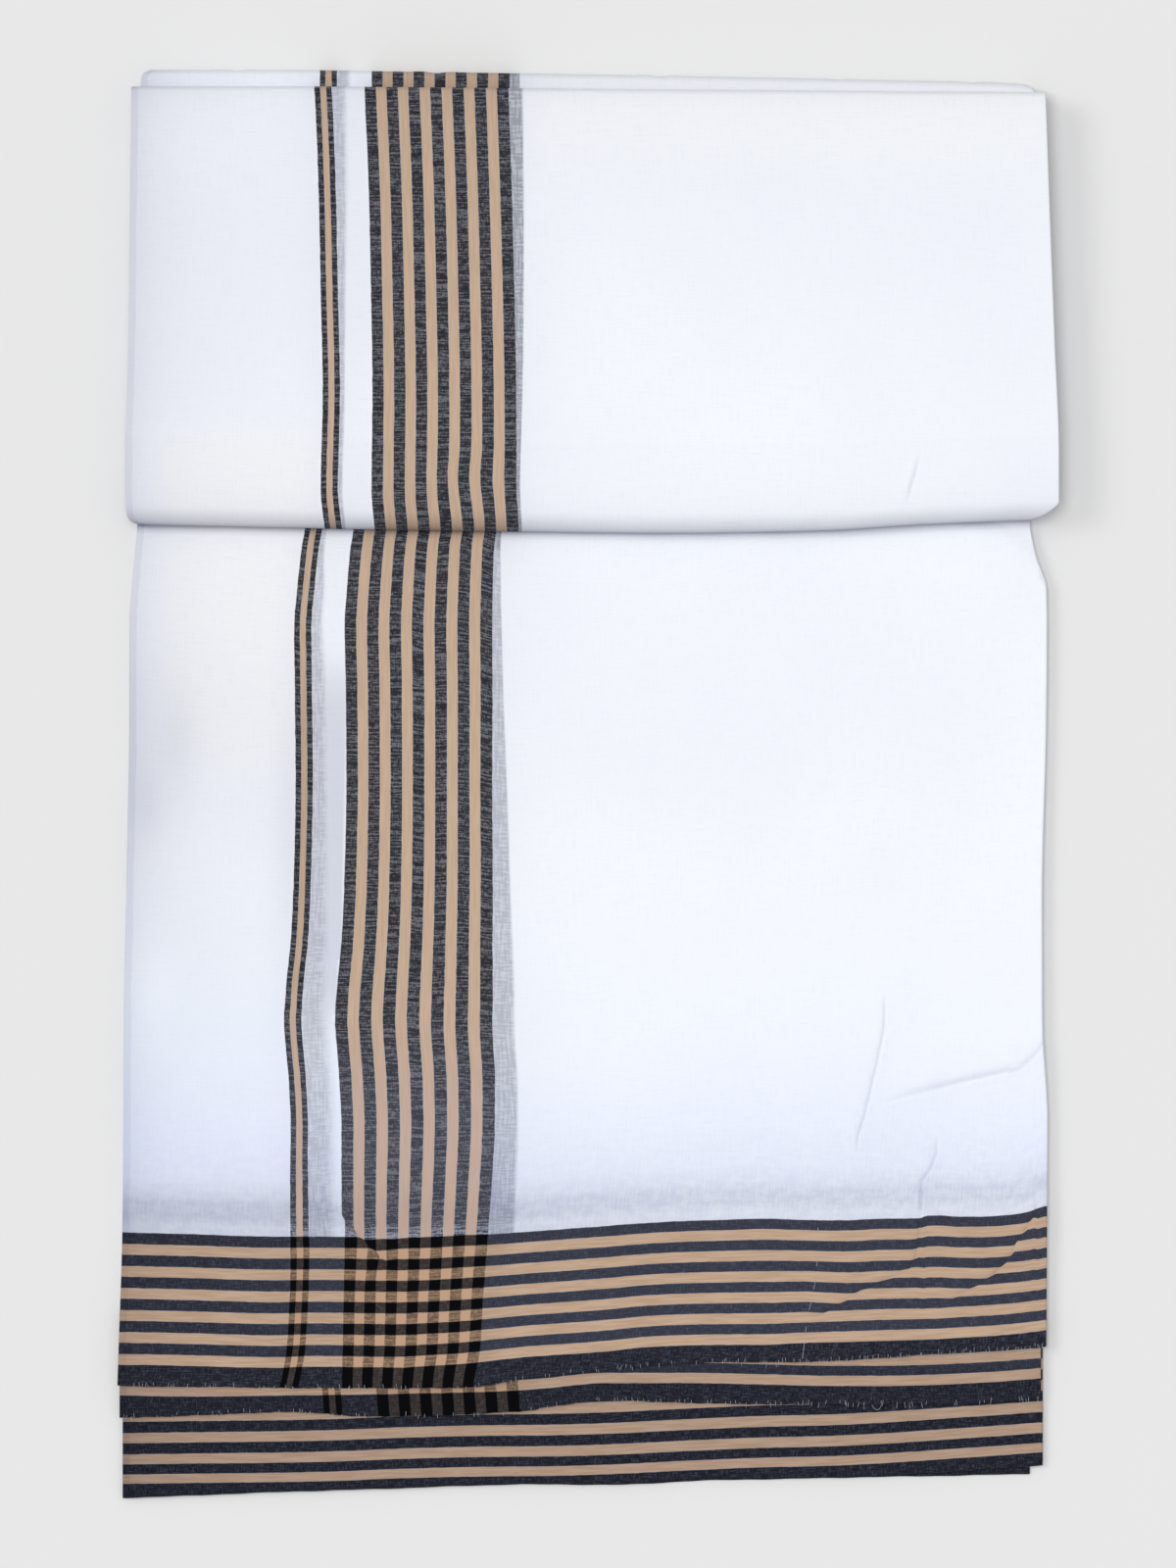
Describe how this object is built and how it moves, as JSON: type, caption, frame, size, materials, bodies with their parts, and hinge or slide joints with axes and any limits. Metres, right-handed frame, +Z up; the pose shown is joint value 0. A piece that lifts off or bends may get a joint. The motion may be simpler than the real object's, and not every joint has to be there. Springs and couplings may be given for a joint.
{
  "type": "folded dhoti cloth",
  "caption": "White cotton dhoti folded flat: a long stretch with a woven side border, frayed striped ends below, and a thick folded block lying over its upper third.",
  "frame": {"origin": "under the middle of the folded cloth's box, on the surface that it lies on", "axes": "+Z up, +Y along the cloth towards the folded block, +X across it to the right as seen from above with the block away from the viewer"},
  "size_m": [0.3242, 0.4921, 0.0175],
  "materials": {
    "white_cotton": "plain woven, matt",
    "striped_border": "plain woven in black and tan stripes, matt"
  },
  "bodies": {
    "root": {"hidden_layers": "white_cotton", "front_end": "white_cotton", "block_front": "white_cotton", "back_fold": "white_cotton", "second_end": "striped_border", "mid_fold_upper": "striped_border", "mid_fold_lower": "striped_border"}
  },
  "joints": []
}
